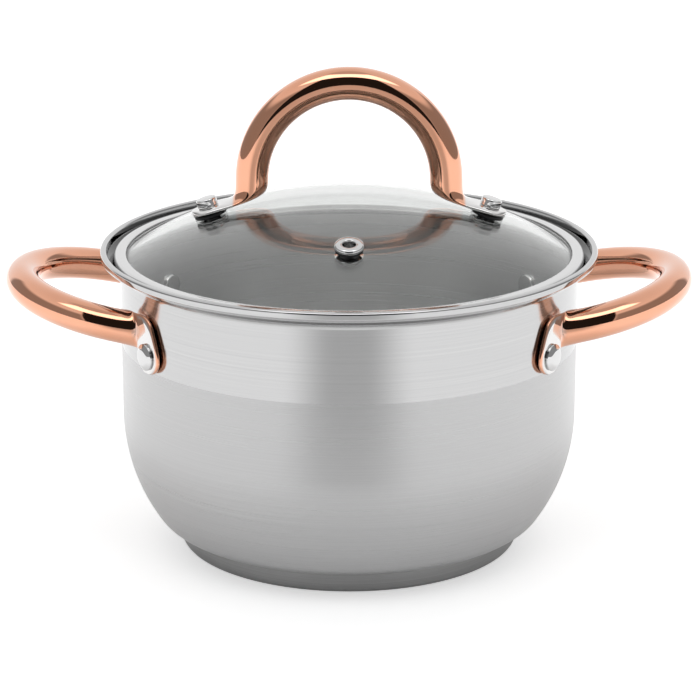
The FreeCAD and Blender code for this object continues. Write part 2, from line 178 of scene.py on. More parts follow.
def draw_section(corners):
    """Draw a section through corners of (radius, height, bend radius), in millimetres."""
    points = [Vector((radius, 0, height)) for radius, height, bend in corners]
    closed = points[0].x > 0 and points[-1].x > 0
    start_piece()
    bpy.ops.mesh.primitive_plane_add(size=MM, location=points[0] * MM)
    bpy.ops.object.mode_set(mode="EDIT")
    bpy.ops.mesh.select_all(action="SELECT")
    bpy.ops.mesh.merge(type="CENTER")
    pen = points[0]
    if closed:
        points.append(points[0])
        corners = corners + [(0, 0, 0)]
    for index in range(1, len(points)):
        corner = points[index]
        bend = corners[index][2]
        if not bend or index == len(points) - 1:
            move_pen(pen, corner)
            pen = corner
            continue
        back = (points[index - 1] - corner).normalized()
        ahead = (points[index + 1] - corner).normalized()
        reach = bend * math.tan((math.pi - back.angle(ahead)) / 2)
        move_pen(pen, corner + back * reach)
        bend_pen(corner, back, ahead, bend)
        pen = corner + ahead * reach


def turn_section(corners, steps):
    """Spin a drawn section once round the upright axis and close the surface."""
    draw_section(corners)
    bpy.ops.mesh.select_all(action="SELECT")
    bpy.ops.mesh.spin(steps=steps, angle=math.tau, center=(0, 0, 0), axis=(0, 0, 1))
    tidy_surface()


# %% [markdown]
# ## The pot shell
#
# The shell is deep-drawn from one sheet: a flat floor, a round belly, a straight
# wall, and a lip that flares out to seat the lid and ends in a rolled bead. It
# could be an outer wall with a Solidify modifier, but the bead is thicker than
# the sheet, so the section is drawn all the way round, outside and inside.

# %% Turn the pot shell
FINE_STEPS = 216
BELLY_BEND = 71.4
belly_top = 32.35
belly_slope = math.radians(33.5)
flare_height = 113.6
flare_angle = math.radians(31)
lip_inside = lip_radius - 2.5
pot_inside = pot_radius - sheet

belly_foot = pot_radius - (belly_top - base_height) * math.tan(belly_slope)
inner_belly_top = belly_top + sheet * math.tan(belly_slope / 2)
inner_foot = belly_foot - sheet * math.tan(math.pi / 4 - belly_slope / 2)
inner_flare = flare_height + sheet / math.cos(flare_angle) - sheet * math.tan(flare_angle)

turn_section([
    (0, base_height, 0),
    (belly_foot, base_height, 11.2),
    (pot_radius, belly_top, BELLY_BEND),
    (pot_radius, flare_height, 2.5),
    (lip_radius, flare_height + (lip_radius - pot_radius) * math.tan(flare_angle), 0.7),
    (lip_radius, lip_height, 1.0),
    (lip_inside, lip_height, 0.8),
    (lip_inside, inner_flare + (lip_inside - pot_inside) * math.tan(flare_angle), 0.6),
    (pot_inside, inner_flare, 3.2),
    (pot_inside, inner_belly_top, BELLY_BEND - sheet),
    (inner_foot, base_height + sheet, 10.5),
    (0, base_height + sheet, 0),
], FINE_STEPS)
pot_shell = finish_piece("pot_shell", "pot", "pot_body")

# %% [markdown]
# ## The capsule base
#
# Under the floor sits a thick aluminium disc that spreads the heat. A steel cup
# is pressed over it, and a fine dark seam shows where the cup's edge meets the
# shell. The cup is turned like the shell, with a shallow recess and a ring in
# its underside, which stop a pot from rocking when its base heats up.

# %% Turn the base cup
cup_sheet = 0.8
cup_bend = 2.0
turn_section([
    (0, 0.35, 0),
    (20, 0.35, 1.0),
    (21, 0.12, 1.0),
    (49, 0.12, 1.0),
    (50.5, 0, 1.5),
    (base_radius, 0, cup_bend),
    (base_radius, base_top, 0.3),
    (base_radius - cup_sheet, base_top, 0),
    (base_radius - cup_sheet, cup_sheet, cup_bend - cup_sheet),
    (0, cup_sheet, 0),
], FINE_STEPS)
base_cup = finish_piece("base_cup", "pot", "base_cap")

# %% [markdown]
# The aluminium disc inside is a plain cylinder in CAD. It is only seen as a
# line in the seam, so its edge gets a small bevel and nothing more.

# %% Turn the spreader disc
disc_reach = reach_of("heat_spreader_disc")
disc_foot = bottom_of("heat_spreader_disc")
disc_top = top_of("heat_spreader_disc")
turn_section([
    (0, disc_foot, 0),
    (disc_reach, disc_foot, 0.4),
    (disc_reach, disc_top, 0.3),
    (0, disc_top, 0),
], FINE_STEPS)
spreader_disc = finish_piece("spreader_disc", "pot", "heat_spreader_disc")

# %% [markdown]
# ## The lid's glass and its rim
#
# The lid is a slice of a sphere, 4 mm thick, with a ground edge. A sphere could
# be cut down to a cap, but its triangles would crowd at the pole. Turning two
# arcs keeps the curve exact. Each arc is one bend of the pen about the centre
# of the dome, which lies far below the pot.

# %% Turn the glass dome
DOME_RADIUS = 183.7
GLASS = 4.0
dome_centre = dome_height - DOME_RADIUS


def draw_arc(radius, start, end, chords):
    """Spin the pen about the dome's centre between two angles from the axis."""
    axis = (0, 1 if start > end else -1, 0)
    centre = (0, 0, dome_centre * MM)
    bpy.ops.mesh.spin(steps=chords, angle=abs(end - start), center=centre, axis=axis)


def dome_point(radius, angle):
    """A point of the section at that angle from the axis of the dome."""
    return Vector((radius * math.sin(angle), 0, dome_centre + radius * math.cos(angle)))


outer_edge = math.asin(glass_radius / DOME_RADIUS)
inner_edge = math.asin(glass_radius / (DOME_RADIUS - GLASS))
start_piece()
bpy.ops.mesh.primitive_plane_add(size=MM, location=dome_point(DOME_RADIUS, 0) * MM)
bpy.ops.object.mode_set(mode="EDIT")
bpy.ops.mesh.select_all(action="SELECT")
bpy.ops.mesh.merge(type="CENTER")
draw_arc(DOME_RADIUS, 0, outer_edge, 48)
move_pen(dome_point(DOME_RADIUS, outer_edge), dome_point(DOME_RADIUS - GLASS, inner_edge))
draw_arc(DOME_RADIUS - GLASS, inner_edge, 0, 48)
bpy.ops.mesh.select_all(action="SELECT")
bpy.ops.mesh.spin(steps=FINE_STEPS, angle=math.tau, center=(0, 0, 0), axis=(0, 0, 1))
tidy_surface()
glass_dome = finish_piece("glass_dome", "lid", "lid_glass")
print("glass dome top at", round(glass_dome.bound_box[1][2] / MM, 2), "mm")

# %% [markdown]
# The rim band is rolled from thin polished steel: its top curls over the glass,
# its skirt drops inside the pot, and its outer edge rests on the flare.

# %% Turn the rim band
band_edge = glass_radius + 0.05
band_out = band_edge + 0.4
band_seat = flare_height + 0.75
turn_section([
    (band_edge - 0.6, band_skirt, 0.25),
    (band_out, band_skirt, 0.25),
    (band_out, band_seat, 1.0),
    (band_radius, band_seat + (band_radius - band_out) * math.tan(flare_angle), 0.8),
    (band_radius, band_top, 1.3),
    (band_edge - 0.8, band_top, 0.4),
    (band_edge - 0.8, band_top - 0.78, 0),
    (band_edge, band_top - 1.2, 0),
    (band_edge, band_skirt + 5.0, 0),
    (band_edge - 0.6, band_skirt + 5.0, 0),
], FINE_STEPS)
rim_band = finish_piece("rim_band", "lid", "lid_rim_band")

# %% [markdown]
# ## Rivets, grommets and the steam vent
#
# The small fittings are turned parts too. Each is drawn upright on the axis of
# the lathe and then carried to its place: on the wall the axis points straight
# out of the pot, and on the lid it stands square to the dome.

# %% Places for the small fittings
rivet_middle = middle_of("right_rear_rivet") / MM
rivet_height = rivet_middle.z
rivet_turn = math.atan2(rivet_middle.y, rivet_middle.x)
FIXING_CIRCLE = 54.4
SHANK = 2.5
PAD = 2.6
FLANGE = 1.45
HOLE = 3.6
WALL_GAP = 0.15
fixing_tilt = math.asin(FIXING_CIRCLE / DOME_RADIUS)


def wall_place(side, end):
    """The place and turn of a side rivet: its +Z points out of the wall."""
    outward = Vector((side * math.cos(rivet_turn), end * math.sin(rivet_turn), 0))
    spot = outward * pot_inside + UP * rivet_height
    return Matrix.Translation(spot * MM) @ outward.to_track_quat("Z", "Y").to_matrix().to_4x4()


def dome_place(way):
    """The place and turn of a fitting on the dome, on the side that way points to."""
    normal = Vector(way) * math.sin(fixing_tilt) + UP * math.cos(fixing_tilt)
    spot = UP * dome_centre + normal * DOME_RADIUS
    return Matrix.Translation(spot * MM) @ normal.to_track_quat("Z", "Y").to_matrix().to_4x4()


# %% [markdown]
# The side rivets have a broad shallow dome outside and a flat head inside the
# pot. A fine groove under the dome gives the dark line that sets it off.

# %% Turn the side rivets
RIVET_STEPS = 72
head = 5.2
seat = sheet + PAD + 0.2
for side_name, side in (("left", -1), ("right", 1)):
    for end_name, end in (("front", -1), ("rear", 1)):
        turn_section([
            (0, -1.5, 0),
            (head - 0.2, -1.5, 0.9),
            (head - 0.2, -0.2, 0),
            (SHANK, -0.2, 0),
            (SHANK, seat, 0),
            (head - 0.35, seat, 0.1),
            (head, seat + 0.35, 0.3),
            (head, seat + 0.95, 0.45),
            (head * 0.62, seat + 2.15, 3.2),
            (0, seat + 2.42, 0),
        ], RIVET_STEPS)
        node = f"{side_name}_{end_name}_rivet"
        finish_piece(f"{side_name}_{end_name}_wall_rivet", "pot", node,
                     place=wall_place(side, end))

# %% [markdown]
# Each foot of the lid handle is held by a short button rivet. A silicone
# grommet lines its hole in the glass, so that metal never bears on glass, and
# a washer spreads the load underneath.

# %% Turn the lid fixings
washer_top = -0.15 - GLASS
lid_seat = FLANGE + PAD + 0.05
lid_head = 4.1
bore = SHANK + 0.05
for side_name, way in (("left", (-1, 0, 0)), ("right", (1, 0, 0))):
    turn_section([
        (bore, -GLASS, 0),
        (HOLE - 0.05, -GLASS, 0),
        (HOLE - 0.05, 0.05, 0),
        (HOLE * 1.8, 0.2, 0.3),
        (HOLE * 1.8, FLANGE - 0.05, 0.3),
        (bore, FLANGE - 0.05, 0),
    ], RIVET_STEPS)
    finish_piece(f"{side_name}_grommet", "lid", f"lid_grommet_{side_name}",
                 place=dome_place(way))
    turn_section([
        (bore, washer_top - 1.1, 0),
        (HOLE * 1.65, washer_top - 1.1, 0.3),
        (HOLE * 1.65, washer_top, 0.3),
        (bore, washer_top, 0),
    ], RIVET_STEPS)
    finish_piece(f"{side_name}_washer", "lid", f"lid_washer_{side_name}",
                 place=dome_place(way))
    turn_section([
        (0, washer_top - 2.5, 0),
        (lid_head - 0.2, washer_top - 2.5, 0.8),
        (lid_head - 0.2, washer_top - 1.15, 0),
        (SHANK, washer_top - 1.15, 0),
        (SHANK, lid_seat, 0),
        (lid_head - 0.25, lid_seat, 0.1),
        (lid_head, lid_seat + 0.3, 0.2),
        (lid_head, lid_seat + 3.3, 0.8),
        (0, lid_seat + 3.5, 0),
    ], RIVET_STEPS)
    finish_piece(f"{side_name}_button_rivet", "lid", f"lid_rivet_{side_name}",
                 place=dome_place(way))

# %% [markdown]
# The steam vent is an eyelet rolled over on both sides of the glass. Its bore
# stays open, so the dark hole in the middle is a real one.

# %% Turn the steam vent
VENT_BORE = 2.4
VENT_RING = 5.7
barrel = VENT_BORE + 0.6
gasket = 1.3
vent_place = dome_place((0, -1, 0))
turn_section([
    (barrel + 0.05, -GLASS, 0),
    (HOLE - 0.05, -GLASS, 0),
    (HOLE - 0.05, 0.05, 0),
    (VENT_RING - 0.3, 0.15, 0.3),
    (VENT_RING - 0.3, gasket, 0.3),
    (barrel + 0.05, gasket, 0),
], RIVET_STEPS)
finish_piece("vent_seal", "lid", "vent_gasket", place=vent_place)
turn_section([
    (barrel + 0.05, washer_top - 0.8, 0),
    (VENT_RING - 0.2, washer_top - 0.8, 0.2),
    (VENT_RING - 0.2, washer_top, 0.2),
    (barrel + 0.05, washer_top, 0),
], RIVET_STEPS)
finish_piece("vent_lock_ring", "lid", "vent_washer", place=vent_place)
turn_section([
    (VENT_BORE, washer_top - 2.0, 0.4),
    (barrel + 1.5, washer_top - 2.0, 0.5),
    (barrel + 1.5, washer_top - 0.85, 0.3),
    (barrel, washer_top - 0.85, 0),
    (barrel, gasket + 0.05, 0),
    (VENT_RING, gasket + 0.05, 0.5),
    (VENT_RING, gasket + 2.0, 1.2),
    (VENT_BORE, gasket + 2.0, 1.0),
], RIVET_STEPS)
finish_piece("vent_ring", "lid", "vent_eyelet", place=vent_place)

# %% [markdown]
# ## Bent-tube handles
#
# Each handle is one steel tube, bent to a half circle, whose ends are pressed
# flat and drilled for a rivet. A curve with a bevel gives a round tube, but it
# can't be pressed flat one way only. So a ring of points is spun round the
# loop, and then extruded on, one station at a time: at each station the ring is
# moved, turned and scaled as the press would do it. Only half a handle is made,
# mirrored, and rounded off with a Subdivision Surface modifier.

# %% Rings of points that follow a tube
TUBE = 6.5
PAD_WIDTH = 7.5
RING_POINTS = 24
LOOP_STEPS = 18
CORNER_PULL = 2.5
# Subdivision pulls a ring in by the amount that this puts back.
RING_SWELL = 6 / (4 + 2 * math.cos(math.tau / RING_POINTS))


class Station:
    """The place of one ring: its centre, its axes and its half width and depth."""

    def __init__(self, centre, across, through, half_width, half_depth):
        self.centre = centre
        self.half_width = half_width
        self.half_depth = half_depth
        self.axes = Matrix((across, through, across.cross(through)))


def bent_station(outer, inner, half_width, run):
    """The ring between an outer and an inner point of a tube that heads along run."""
    through = (outer - inner).normalized()
    across = through.cross(run).normalized()
    return Station((outer + inner) / 2, across, through, half_width, (outer - inner).length / 2)


def carry_ring(old, new):
    """Extrude the selected ring to the next station, turn it and press it to size."""
    middle = new.centre * MM
    bpy.ops.mesh.extrude_region_move(TRANSFORM_OT_translate={"value": (new.centre - old.centre) * MM})
    swing = (new.axes.transposed() @ old.axes).to_euler("XYZ")
    for axis, angle in zip("XYZ", swing):
        bpy.ops.transform.rotate(value=-angle, orient_axis=axis, center_override=middle)
    press = (new.half_width / old.half_width, new.half_depth / old.half_depth, 1)
    bpy.ops.transform.resize(value=press, orient_type="GLOBAL", orient_matrix_type="GLOBAL",
                             orient_matrix=new.axes.transposed(), center_override=middle)


def lean(start, corner, end, part):
    """A point on the smooth curve from start to end that hugs a corner."""
    before, pull, after = (1 - part) ** 2, CORNER_PULL * 2 * part * (1 - part), part ** 2
    return (start * before + corner * pull + end * after) / (before + pull + after)


# %% [markdown]
# The press folds the tube sharply where the pad begins, so both sides of the
# bend hug a corner. The pad itself is flat on both faces with rounded edges. An
# oval ring would leave it bulging, so its rings are made a little too deep, and
# the points that stand out are then scaled flat, the way a press flattens them.
#
# A pad is drawn flat, as pairs of points on the two edges of its outline. They
# are lengths from the rivet: first the way the tube runs, then across it.

# %% A pressed pad
PAD_FULLNESS = 1.4
PAD_FACE = 0.46
TIP_ROUNDING = 0.94


class Pad:
    """Where a pad lies: its rivet, the way it faces and the way the tube runs on to it."""

    def __init__(self, rivet, facing, run, outline):
        self.rivet = rivet
        self.facing = facing
        self.run = run
        self.across = facing.cross(run)
        self.outline = outline

    def spot(self, edge):
        return self.rivet + self.run * edge[0] + self.across * edge[1]

    def stations(self):
        """One flat ring for each pair of edge points."""
        rings = []
        for first, second in self.outline:
            width = self.spot(second) - self.spot(first)
            middle = (self.spot(first) + self.spot(second)) / 2
            rings.append(Station(middle, width.normalized(), self.facing, width.length / 2,
                                 PAD / 2 * PAD_FULLNESS))
        return rings

    def flatten(self):
        """Scale the points that stand out of the pad's two faces flat."""
        axes = Matrix((self.run, self.across, self.facing)).transposed()
        start = min(edge[0] for edge in self.outline[0]) - 0.01
        for face in (1, -1):

            def stands_out(point):
                offset = point / MM - self.rivet
                on_pad = offset.dot(self.run) > start and offset.length < 3 * PAD_WIDTH
                return on_pad and offset.dot(self.facing) * face > PAD * PAD_FACE

            select_points(stands_out)
            level = self.rivet + self.facing * (face * PAD / 2)
            bpy.ops.transform.resize(value=(1, 1, 0), orient_type="GLOBAL", orient_matrix_type="GLOBAL",
                                     orient_matrix=axes, center_override=level * MM)


def round_tip(angles):
    """Pairs of edge points down the round end of a pad, for a run straight down it."""
    turns = [math.radians(angle) for angle in angles]
    return [(PAD_WIDTH * TIP_ROUNDING * math.sin(turn), PAD_WIDTH * math.cos(turn)) for turn in turns]


# %% [markdown]
# Now the whole tube. The ring starts at the top of the loop, is spun a quarter
# turn to the loop's end, and is then carried through the bend and along the
# pad. The Mirror modifier makes the other half, joined at the top of the loop.

# %% Half a tube handle, from the top of its loop to the tip of its pad
BEND_PARTS = (0.1, 0.22, 0.35, 0.5, 0.64, 0.76, 0.86, 0.94)


def bend_stations(loop_end, pad, outer_corner, inner_corner):
    """The rings of the bend, from the end of the loop to the first ring of the pad."""
    outer, inner = loop_end
    first = pad.stations()[0]
    outer_ways = (outer, outer + outer_corner, first.centre + pad.facing * PAD / 2)
    inner_ways = (inner, inner + inner_corner, first.centre - pad.facing * PAD / 2)
    widths = (TUBE, (TUBE + first.half_width) / 2, first.half_width)
    sides = [(lean(*outer_ways, part), lean(*inner_ways, part)) for part in (0, *BEND_PARTS, 1)]
    centres = [(outer + inner) / 2 for outer, inner in sides]
    return [bent_station(*sides[index], lean(*widths, part), centres[index + 1] - centres[index - 1])
            for index, part in enumerate(BEND_PARTS, start=1)]


def bend_handle(centre, top, way, radius, pad, outer_corner, inner_corner, mirror):
    """Bend, press, mirror and round off one handle.

    top and way span the loop's plane, and the two corners are where the outer
    and inner sides of the tube fold, measured from the end of the loop.
    """
    start_piece()
    first = bent_station(centre + top * (radius + TUBE), centre + top * (radius - TUBE), TUBE, way)
    bpy.ops.mesh.primitive_circle_add(vertices=RING_POINTS, radius=TUBE * RING_SWELL * MM,
                                      location=first.centre * MM,
                                      rotation=first.axes.transposed().to_euler())
    bpy.ops.object.transform_apply(location=True, rotation=True, scale=True)
    bpy.ops.object.mode_set(mode="EDIT")
    bpy.ops.mesh.select_all(action="SELECT")
    bpy.ops.mesh.spin(steps=LOOP_STEPS, angle=math.pi / 2, center=centre * MM, axis=way.cross(top))
    loop_end = (centre + way * (radius + TUBE), centre + way * (radius - TUBE))
    here = bent_station(*loop_end, TUBE, -top)
    for there in bend_stations(loop_end, pad, outer_corner, inner_corner) + pad.stations():
        carry_ring(here, there)
        here = there
    bpy.ops.mesh.edge_face_add()
    pad.flatten()
    bpy.ops.mesh.select_all(action="SELECT")
    bpy.ops.mesh.normals_make_consistent(inside=False)
    bpy.ops.object.mode_set(mode="OBJECT")
    piece = bpy.context.object
    mirrored = piece.modifiers.new("mirror", "MIRROR")
    mirrored.use_axis = mirror
    mirrored.merge_threshold = 0.01 * MM
    rounded = piece.modifiers.new("rounding", "SUBSURF")
    rounded.levels = rounded.render_levels = 2
    for modifier in ("mirror", "rounding"):
        bpy.ops.object.modifier_apply(modifier=modifier)
    bpy.ops.object.mode_set(mode="EDIT")
    tidy_surface()


# %% [markdown]
# The side handles lie nearly level and rise a little outwards. Their ends fold
# along the wall and spread into pads that turn down to the rivets. The rings of
# a pad fan round its inner corner. The left handle is the right one turned half
# way round the pot.

# %% Bend the side handles
SIDE_LOOP_RADIUS = 40.4
side_tilt = math.radians(12.4)
side_centre = Vector((90.2, 0, 99.6))
side_out = Vector((math.cos(side_tilt), 0, math.sin(side_tilt)))
wall_facing = Vector((math.cos(rivet_turn), -math.sin(rivet_turn), 0))
wall_outline = [
    ((-5.8, -15.3), (-7.2, -1.0)),
    ((-3.0, -15.5), (-7.3, -0.7)),
    ((-0.3, -14.8), (-7.35, -0.5)),
    ((2.3, -12.7), (-7.4, -0.3)),
    ((4.0, -9.5), (-7.4, -0.1)),
    ((5.5, -6.1), (-7.45, 0.1)),
    ((6.7, -3.3), (-7.45, 0.3)),
]
for drop, half_width in round_tip((6, 18, 32, 46, 60, 74)):
    wall_outline.append(((half_width, drop), (-half_width, drop)))
wall_spot = wall_facing * (pot_radius + WALL_GAP + PAD / 2) + UP * rivet_height
wall_pad = Pad(wall_spot, wall_facing, wall_facing.cross(UP), wall_outline)
outer_corner, inner_corner = Vector((-8.9, 0, -1.4)), Vector((-3.5, 0, -0.8))
for side_name, half_turns in (("right", 0), ("left", 1)):
    bend_handle(side_centre, side_out, Vector((0, -1, 0)), SIDE_LOOP_RADIUS, wall_pad,
                outer_corner, inner_corner, (False, True, False))
    finish_piece(f"{side_name}_copper_handle", "pot", f"{side_name}_side_handle",
                 crease=180, place=Matrix.Rotation(half_turns * math.pi, 4, "Z"))

# %% [markdown]
# The lid handle stands upright. Its ends fold outwards and lie on the grommets,
# square to the dome.

# %% Bend the lid handle
LID_LOOP_HEIGHT = 147.6
LID_LOOP_RADIUS = 38.2
FOOT_LENGTH = 5.5
lid_facing = Vector((math.sin(fixing_tilt), 0, math.cos(fixing_tilt)))
lid_run = Vector((math.cos(fixing_tilt), 0, -math.sin(fixing_tilt)))
foot_outline = [((-FOOT_LENGTH, -PAD_WIDTH), (-FOOT_LENGTH, PAD_WIDTH))]
for reach, half_width in round_tip((0, 18, 36, 52, 66, 78)):
    foot_outline.append(((reach, -half_width), (reach, half_width)))
foot_spot = UP * dome_centre + lid_facing * (DOME_RADIUS + FLANGE + PAD / 2)
foot_pad = Pad(foot_spot, lid_facing, lid_run, foot_outline)
outer_corner, inner_corner = Vector((0, 0, -7.6)), Vector((0, 0, -6.2))
bend_handle(UP * LID_LOOP_HEIGHT, UP, Vector((1, 0, 0)), LID_LOOP_RADIUS, foot_pad,
            outer_corner, inner_corner, (True, False, False))
finish_piece("lid_copper_handle", "lid", "lid_handle", crease=180)

# %% [markdown]
# ## Finishes
#
# Every finish is a node material. Steel, copper, silicone and glass each start
# from a Principled shader, and all but the glass get their own fine variation:
# brushing marks, polishing haze or moulding grain. They read Object
# coordinates, so a pattern keeps its place and size in metres.

# %% A new finish and a few node helpers


class NodeBench:
    """A node tree with short ways to add and join its nodes."""

    def __init__(self, tree, coordinates):
        self.nodes = tree.nodes
        self.links = tree.links
        self.place = self.nodes.new("ShaderNodeTexCoord").outputs[coordinates]

    def join(self, source, socket):
        """Join an output to an input, or set the input to a plain value."""
        if isinstance(source, bpy.types.NodeSocket):
            self.links.new(source, socket)
        else:
            socket.default_value = source

    def math(self, operation, *values):
        node = self.nodes.new("ShaderNodeMath")
        node.operation = operation
        for value, socket in zip(values, node.inputs):
            self.join(value, socket)
        return node.outputs[0]

    def split(self, vector):
        node = self.nodes.new("ShaderNodeSeparateXYZ")
        self.join(vector, node.inputs[0])
        return node.outputs

    def stretch(self, x, y, z):
        node = self.nodes.new("ShaderNodeCombineXYZ")
        for value, socket in zip((x, y, z), node.inputs):
            self.join(value, socket)
        return node.outputs[0]

    def length(self, vector):
        node = self.nodes.new("ShaderNodeVectorMath")
        node.operation = "LENGTH"
        self.join(vector, node.inputs[0])
        return node.outputs["Value"]

    def noise(self, vector, scale=1.0, detail=3.0, roughness=0.6):
        node = self.nodes.new("ShaderNodeTexNoise")
        self.join(vector, node.inputs["Vector"])
        node.inputs["Scale"].default_value = scale
        node.inputs["Detail"].default_value = detail
        node.inputs["Roughness"].default_value = roughness
        return node.outputs["Fac"]

    def span(self, value, low, high, from_low=0.0, from_high=1.0, smooth=False):
        """Map a value from one range to another."""
        node = self.nodes.new("ShaderNodeMapRange")
        node.interpolation_type = "SMOOTHSTEP" if smooth else "LINEAR"
        self.join(value, node.inputs["Value"])
        self.join(from_low, node.inputs["From Min"])
        self.join(from_high, node.inputs["From Max"])
        self.join(low, node.inputs["To Min"])
        self.join(high, node.inputs["To Max"])
        return node.outputs["Result"]

    def blend(self, part, first, second):
        """Mix two colours by part."""
        node = self.nodes.new("ShaderNodeMix")
        node.data_type = "RGBA"
        self.join(part, node.inputs[0])
        for colour, socket in ((first, node.inputs[6]), (second, node.inputs[7])):
            self.join((*colour, 1) if isinstance(colour, tuple) else colour, socket)
        return node.outputs[2]


class Finish(NodeBench):
    """A material for one of the pot's surfaces."""

    def __init__(self, name, colour, roughness, metallic=0.0):
        self.material = bpy.data.materials.new(name)
        self.material.use_nodes = True
        super().__init__(self.material.node_tree, "Object")
        self.shader = self.nodes["Principled BSDF"]
        self.give((*colour, 1), "Base Color")
        self.give(roughness, "Roughness")
        self.give(metallic, "Metallic")

    def bump(self, height, strength, distance):
        node = self.nodes.new("ShaderNodeBump")
        node.inputs["Strength"].default_value = strength
        node.inputs["Distance"].default_value = distance
        self.join(height, node.inputs["Height"])
        self.join(node.outputs["Normal"], self.shader.inputs["Normal"])

    def give(self, value, socket):
        self.join(value, self.shader.inputs[socket])


def coat(finish, *names):
    """Give a finish to pieces by name."""
    for name in names:
        slots = bpy.data.objects[name].data.materials
        slots.clear()
        slots.append(finish.material)


# %% [markdown]
# ### Brushed steel
#
# The pot is brushed on a lathe with a fine belt, so its marks are long streaks
# round the axis. Noise is stretched to match: slow across x and y, and very
# fast along a length that grows both up the wall and out across the floor. The
# marks also spread each reflection up and down but not sideways, which is what
# the Anisotropic setting does when the tangent runs round the axis.

# %% Brush marks round the axis


def brush_marks(finish, along, across):
    """Noise streaks round the upright axis, along and across in streaks per metre."""
    x, y, z = finish.split(finish.place)
    reach = finish.length(finish.stretch(x, y, 0.0))
    travel = finish.math("MULTIPLY_ADD", reach, 1.3, z)
    vector = finish.stretch(finish.math("MULTIPLY", x, along), finish.math("MULTIPLY", y, along),
                            finish.math("MULTIPLY", travel, across))
    return finish.noise(vector, detail=4.0), reach, z


def spread_round_axis(finish, amount):
    """Spread reflections across the brush marks, which run round the axis."""
    tangent = finish.nodes.new("ShaderNodeTangent")
    tangent.direction_type = "RADIAL"
    tangent.axis = "Z"
    finish.join(tangent.outputs[0], finish.shader.inputs["Tangent"])
    finish.shader.inputs["Anisotropic"].default_value = amount
    finish.shader.inputs["Anisotropic Rotation"].default_value = 0.25


# %% [markdown]
# One shell carries several zones. A band round the top of the outer wall is
# polished over its brushing. The inner wall is painted a brighter steel, which
# is painted light, and the flare behind the bead is painted near black, which
# is painted shade in the narrow trough there. Each zone is a mask made of the
# height and the reach from the axis, which could also be painted by hand, but a
# sum of plain lengths stays true at any size.

# %% Zones of the pot shell
BAND_EDGE = 83.65
wall_foot = belly_top + BELLY_BEND * math.tan(belly_slope / 2)
mid_sheet = (pot_radius - sheet / 2) * MM
satin = Finish("brushed_steel", (0.62, 0.62, 0.62), 0.3, metallic=1.0)
fine, reach, height = brush_marks(satin, 8, 5200)
broad = brush_marks(satin, 3, 1300)[0]
streaks = satin.math("ADD", satin.math("MULTIPLY", fine, 0.6), satin.math("MULTIPLY", broad, 0.4))
polished_zone = satin.math("MULTIPLY", satin.math("GREATER_THAN", height, BAND_EDGE * MM),
                           satin.math("GREATER_THAN", reach, mid_sheet))
# The inner wall, which gets a brighter copy of the steel: painted light.
inside = satin.math("MULTIPLY", satin.math("LESS_THAN", reach, mid_sheet),
                    satin.math("GREATER_THAN", height, wall_foot * MM))
# Painted shade: the narrow trough on the flare behind the bead.
painted_trough_shade = satin.math("MULTIPLY", satin.math("GREATER_THAN", reach, (pot_radius + 2.2) * MM),
                    satin.math("LESS_THAN", reach, (lip_radius - 2.6) * MM))

# %% Lathe-brushed steel
satin_roughness = satin.span(streaks, 0.24, 0.40, 0.3, 0.7)
polished_roughness = satin.span(streaks, 0.10, 0.20, 0.3, 0.7)
wall_roughness = satin.math("ADD", satin.math("MULTIPLY", polished_zone, polished_roughness),
                            satin.math("MULTIPLY", satin.math("SUBTRACT", 1.0, polished_zone),
                                       satin_roughness))
lip_gloss = satin.span(height, 1.0, 0.35, (flare_height - 1.0) * MM, flare_height * MM)
satin.give(satin.math("MULTIPLY", wall_roughness, lip_gloss), "Roughness")
shade = satin.span(streaks, 0.0, 1.0, 0.25, 0.75)
steel_tint = satin.blend(shade, (0.53, 0.53, 0.535), (0.65, 0.65, 0.65))
# Painted light: the inner wall is a brighter copy of the same steel, 0.78 to 0.88.
steel_tint = satin.blend(inside, steel_tint, satin.blend(shade, (0.78, 0.78, 0.78), (0.88, 0.88, 0.88)))
# The trough is painted near black, base colour 0.05: painted shade.
satin.give(satin.blend(painted_trough_shade, steel_tint, (0.05, 0.05, 0.05)), "Base Color")
satin.bump(fine, 0.08, 0.00002)
spread_round_axis(satin, 0.7)
coat(satin, "pot_shell")

# %% [markdown]
# The base cup is brushed more coarsely, and looks darker.

# %% Coarser brushing for the base
base_steel = Finish("brushed_base_steel", (0.5, 0.5, 0.5), 0.34, metallic=1.0)
marks = brush_marks(base_steel, 6, 3600)[0]
base_steel.give(base_steel.span(marks, 0.28, 0.42, 0.3, 0.7), "Roughness")
base_steel.give(base_steel.blend(base_steel.span(marks, 0.0, 1.0, 0.3, 0.7), (0.30, 0.30, 0.30),
                                 (0.44, 0.44, 0.44)), "Base Color")
base_steel.bump(marks, 0.12, 0.00003)
spread_round_axis(base_steel, 0.7)
coat(base_steel, "base_cup")

aluminium = Finish("milled_aluminium", (0.7, 0.7, 0.71), 0.4, metallic=1.0)
marks = brush_marks(aluminium, 12, 2000)[0]
aluminium.give(aluminium.span(marks, 0.32, 0.5, 0.3, 0.7), "Roughness")
coat(aluminium, "spreader_disc")

# %% [markdown]
# ### Polished steel
#
# The rim band, rivets and vent are mirror polished. A perfect mirror looks
# false, so a faint cloud of haze moves the roughness a little.

# %% Mirror-polished steel
polished = Finish("polished_steel", (0.72, 0.72, 0.72), 0.07, metallic=1.0)
haze = polished.noise(polished.place, scale=260, detail=2.0)
polished.give(polished.span(haze, 0.04, 0.11, 0.3, 0.7), "Roughness")
coat(polished, "rim_band", "vent_ring", "vent_lock_ring")
for side_name in ("left", "right"):
    coat(polished, f"{side_name}_washer", f"{side_name}_button_rivet",
         f"{side_name}_front_wall_rivet", f"{side_name}_rear_wall_rivet")
